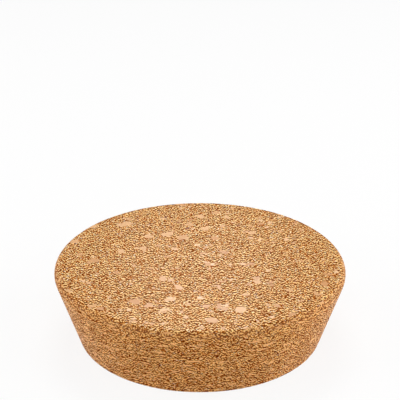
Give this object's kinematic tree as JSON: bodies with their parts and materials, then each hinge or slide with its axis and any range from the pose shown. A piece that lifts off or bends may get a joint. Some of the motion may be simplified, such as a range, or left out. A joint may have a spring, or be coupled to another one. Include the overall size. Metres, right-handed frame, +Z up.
{
  "type": "cork stopper",
  "caption": "Tapered round stopper of agglomerated cork for a wide-mouthed jar, with a flat top, a bevelled and rounded shoulder and a flat foot.",
  "frame": {"origin": "middle of the foot, the narrow flat face that the stopper stands on", "axes": "+Z up along the axis of the taper, towards the wide top face; +X and +Y are any two directions across it, because the stopper is turned"},
  "size_m": [0.095, 0.095, 0.025],
  "materials": {
    "cork": "sanded fine-grained agglomerated cork, matt, unsealed"
  },
  "bodies": {
    "root": {"stopper": "cork"}
  },
  "joints": []
}
